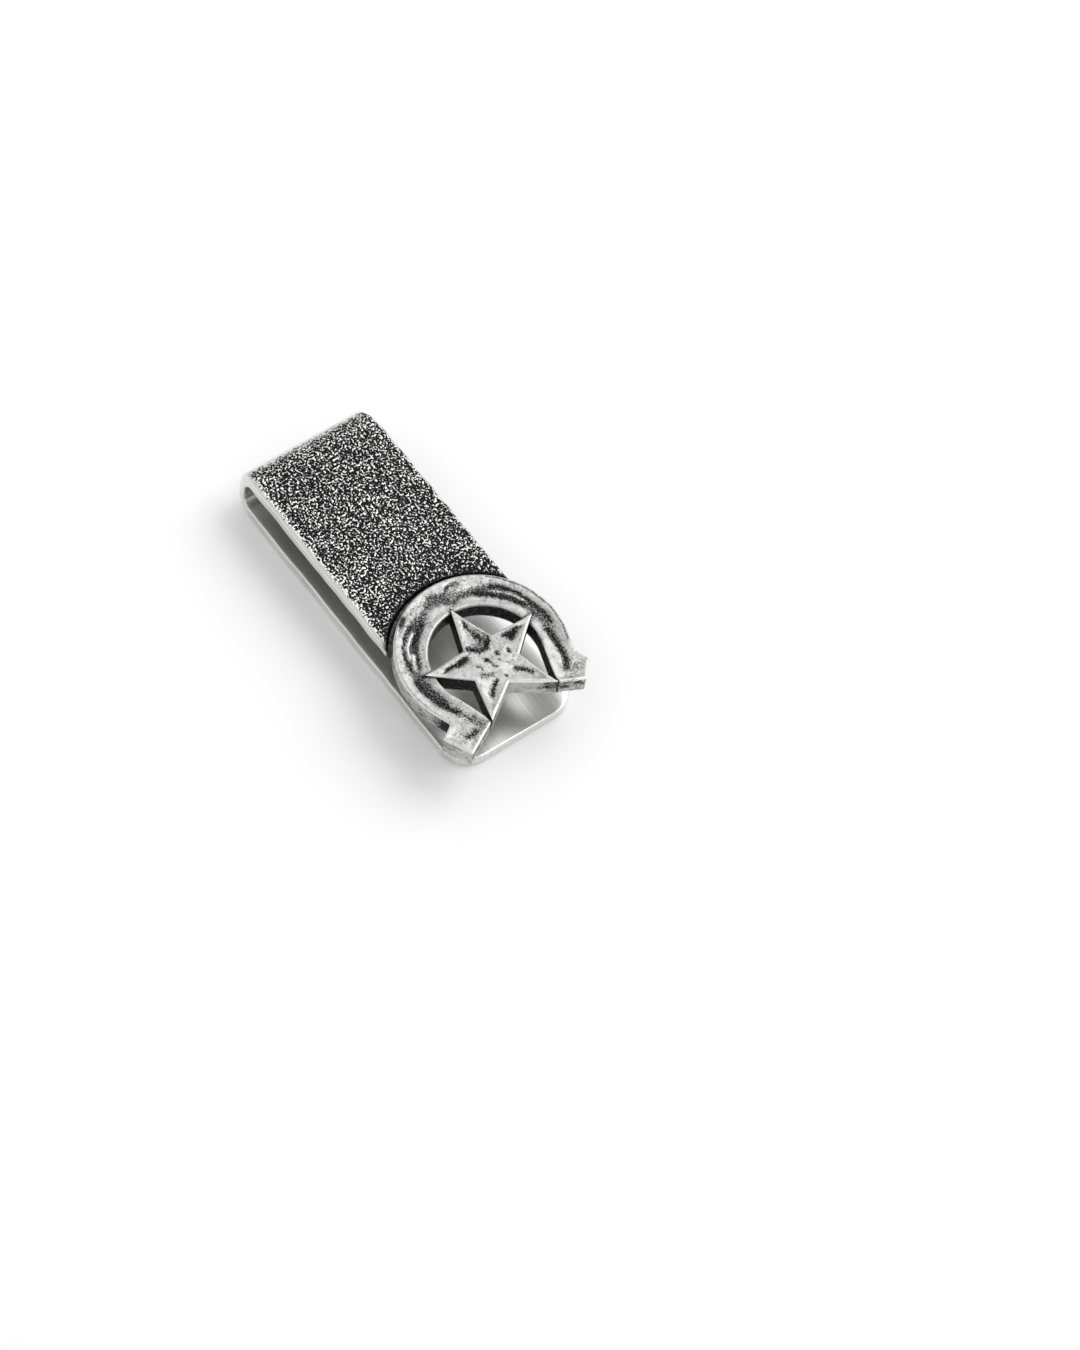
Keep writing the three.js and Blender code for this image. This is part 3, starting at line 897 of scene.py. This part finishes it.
def link(graph, shader, colour, roughness, height, distance):
    """Joins a material's colour, roughness and bump to its shader. distance is the bump's height."""
    links = graph.tree.links
    links.new(colour, shader.inputs["Base Color"])
    links.new(roughness, shader.inputs["Roughness"])
    bump = graph.add("ShaderNodeBump", {"Height": height, "Distance": distance, "Strength": 1.0})
    links.new(bump.outputs[0], shader.inputs["Normal"])


def millimetres(graph):
    """The place on the piece in millimetres."""
    place = graph.add("ShaderNodeTexCoord").outputs["Object"]
    return graph.scaled(place, 1 / MM)


def textured_strip():
    """Black pits between rubbed grains where the texture is cut, plain drawn metal elsewhere, and patina
    with painted shadow along the horseshoe's toe.
    """
    material, graph, shader = new_material("textured_strip")
    sheet = attribute(graph, "sheet", vector=True)
    cut = attribute(graph, "cut")
    level = reticulation(graph, sheet, cut)
    height = graph.range(level, GRAIN_FOOT, GRAIN_TOP)
    crown = graph.range(level, CROWN_FOOT, GRAIN_CROWN)
    pit = graph.math("SUBTRACT", 1.0, height)
    dark = graph.math("MULTIPLY", pit, graph.range(cut, 0.0, 0.1))
    # Patina and painted shadow along the horseshoe's toe.
    dark = graph.math("MAXIMUM", dark, attribute(graph, "toe"))
    inputs = {0: sheet, 1: (0.12, 4.0, 1.0)}
    drawn = graph.add("ShaderNodeVectorMath", inputs, operation="MULTIPLY").outputs[0]
    cloud = graph.noise(drawn, 1.0, 3.0, 0.6)
    burnished = graph.colour(crown, DULL_SILVER, BURNISHED_AND_HIGHLIGHT)
    plain = graph.colour(graph.range(cloud, 0.3, 0.75), DRAWN_SILVER, CLOUDED_SILVER)
    metal = graph.colour(graph.range(cut, 0.5, 1.0), plain, burnished)
    colour = graph.colour(dark, metal, OXIDE)
    roughness = graph.math("ADD", graph.math("MULTIPLY", dark, 0.2), 0.32)
    fine = graph.noise(millimetres(graph), 9.0, 2.0)
    domed = graph.math("ADD", height, graph.math("MULTIPLY", crown, 0.7))
    total = graph.math("ADD", graph.math("MULTIPLY", domed, cut), graph.math("MULTIPLY", fine, 0.1))
    link(graph, shader, colour, roughness, total, 0.022 * MM)
    return material


def polished_casting(name, mottle, clean, black, pitting):
    """Polished metal that is darkened where dark is high, by patina and in places painted shade, and
    lightened along rubbed edges, by wear and a painted highlight. mottle is how sandy the
    darkening's edges are, clean and black are the darkness where it starts and where it is full,
    and pitting is how strong the pits are where they crowd."""
    material, graph, shader = new_material(name)
    place = millimetres(graph)
    dark = attribute(graph, "dark")
    # Wear on the edges and ridges, with a painted highlight along the edges.
    rubbed = attribute(graph, "rubbed")
    sand = graph.math("SUBTRACT", graph.noise(place, 4.4, 1.5, 0.7), 0.5)
    gritty = graph.range(dark, 0.02, 0.3, 0.2, 1.0)
    grit = graph.math("MULTIPLY", graph.math("MULTIPLY", sand, mottle), gritty)
    darkening = graph.range(graph.math("ADD", dark, grit), clean, black)
    pits = graph.range(graph.noise(place, 4.6), 0.66, 0.76)
    crowd = graph.range(graph.noise(place, 0.55, 1.0), 0.42, 0.6, 0.15, pitting)
    darkening = graph.math("MAXIMUM", darkening, graph.math("MULTIPLY", pits, crowd))
    cloud = graph.noise(place, 1.1, 4.0, 0.7)
    metal = graph.colour(graph.range(cloud, 0.4, 0.66), SILVER, DULL_SILVER)
    metal = graph.colour(rubbed, metal, BURNISHED_AND_HIGHLIGHT)
    colour = graph.colour(darkening, metal, OXIDE)
    gloss = graph.math("MULTIPLY", rubbed, -0.12)
    roughness = graph.math("ADD", graph.math("MULTIPLY", darkening, 0.2), graph.math("ADD", gloss, 0.42))
    fine = graph.noise(place, 6.0, 3.0, 0.6)
    link(graph, shader, colour, roughness, fine, 0.02 * MM)
    return material


def dark_solder():
    """Oxidised solder, blotched grey and black."""
    material, graph, shader = new_material("solder")
    place = millimetres(graph)
    blotch = graph.noise(place, 1.5, 3.0, 0.6)
    colour = graph.colour(graph.range(blotch, 0.3, 0.8), OXIDE, OXIDISED_SOLDER)
    roughness = graph.range(blotch, 0.2, 0.8, 0.45, 0.65)
    link(graph, shader, colour, roughness, graph.noise(place, 5.0, 2.0), 0.03 * MM)
    return material


# Stage

def lit_floor():
    material, graph, shader = new_material("floor")
    shader.inputs["Metallic"].default_value = 0.0
    place = graph.add("ShaderNodeTexCoord").outputs["Object"]
    tone = graph.noise(place, 6.0, 2.0)
    colour = graph.colour(tone, PALE_FLOOR, FLOOR_CLOUD)
    graph.tree.links.new(colour, shader.inputs["Base Color"])
    shader.inputs["Roughness"].default_value = 0.85
    work = bmesh.new()
    bmesh.ops.create_circle(work, cap_ends=True, segments=96, radius=3.0)
    mesh = bpy.data.meshes.new("floor")
    work.to_mesh(mesh)
    work.free()
    mesh.materials.append(material)
    floor = bpy.data.objects.new("floor", mesh)
    bpy.context.scene.collection.objects.link(floor)


def direction(azimuth, elevation):
    """From the object towards a place round it, azimuth 0 being at -Y and 90 at +X."""
    a, e = math.radians(azimuth), math.radians(elevation)
    return Vector((math.sin(a) * math.cos(e), -math.cos(a) * math.cos(e), math.sin(e)))


def softbox(name, azimuth, elevation, size, power):
    """A round area light a metre from the origin and facing it."""
    light = bpy.data.lights.new(name, "AREA")
    light.shape = "DISK"
    light.size = size
    light.energy = power
    lamp = bpy.data.objects.new(name, light)
    towards = direction(azimuth, elevation)
    lamp.location = towards
    lamp.rotation_mode = "QUATERNION"
    lamp.rotation_quaternion = towards.to_track_quat("Z", "Y")
    bpy.context.scene.collection.objects.link(lamp)


def studio():
    world = bpy.data.worlds.new("studio")
    bpy.context.scene.world = world
    world.use_nodes = True
    background = world.node_tree.nodes["Background"]
    background.inputs["Color"].default_value = (1, 1, 1, 1)
    background.inputs["Strength"].default_value = 0.8
    softbox("key", azimuth=222, elevation=59, size=0.65, power=0.5)
    softbox("window", azimuth=172, elevation=52, size=0.8, power=3.6)
    bpy.context.scene.view_settings.view_transform = "Standard"


CAMERA_AIM = (19.62, 4.30, 8.0)
CAMERA_AZIMUTH = 42.254  # degrees, as is each angle here
CAMERA_ELEVATION = 58.636
CAMERA_ROLL = 12.618
CAMERA_DISTANCE = 512.7  # from the point that it is aimed at
FOCAL_LENGTH = 110.63


def camera():
    """A camera at the photograph's viewing angle, rolled about its own axis."""
    back = direction(CAMERA_AZIMUTH, CAMERA_ELEVATION)
    roll = math.radians(CAMERA_ROLL)
    level = (-back).cross(Vector((0, 0, 1))).normalized()
    lift = level.cross(-back)
    right = level * math.cos(roll) + lift * math.sin(roll)
    up = lift * math.cos(roll) - level * math.sin(roll)
    data = bpy.data.cameras.new("camera")
    data.sensor_width = 36
    data.lens = FOCAL_LENGTH
    data.clip_start = 0.01
    data.clip_end = 20
    shot = bpy.data.objects.new("camera", data)
    place = Vector(CAMERA_AIM) * MM + back * (CAMERA_DISTANCE * MM)
    turn = Matrix((right, up, back)).transposed().to_4x4()
    shot.matrix_world = Matrix.Translation(place) @ turn
    bpy.context.scene.collection.objects.link(shot)
    bpy.context.scene.camera = shot


# The clip

def dress(piece, material):
    piece.data.materials.clear()
    piece.data.materials.append(material)


clip_strip = strip()
dress(clip_strip, textured_strip())
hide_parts("rear_leaf", "front_leaf")
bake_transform(clip_strip)

shoe = horseshoe()
dress(shoe, polished_casting("cast_horseshoe", 1.6, 0.12, 1.0, 0.7))
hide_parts("horseshoe")
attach(shoe, "front")

star_piece = star()
dress(star_piece, polished_casting("cast_star", 1.3, 0.16, 0.95, 0.45))
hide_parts("star")
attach(star_piece, "front")

solder = dark_solder()
for node in sorted(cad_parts):
    if "solder" in node:
        run = solder_run(node)
        dress(run, solder)
        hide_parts(node)
        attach(run, "front")

lit_floor()
studio()
camera()
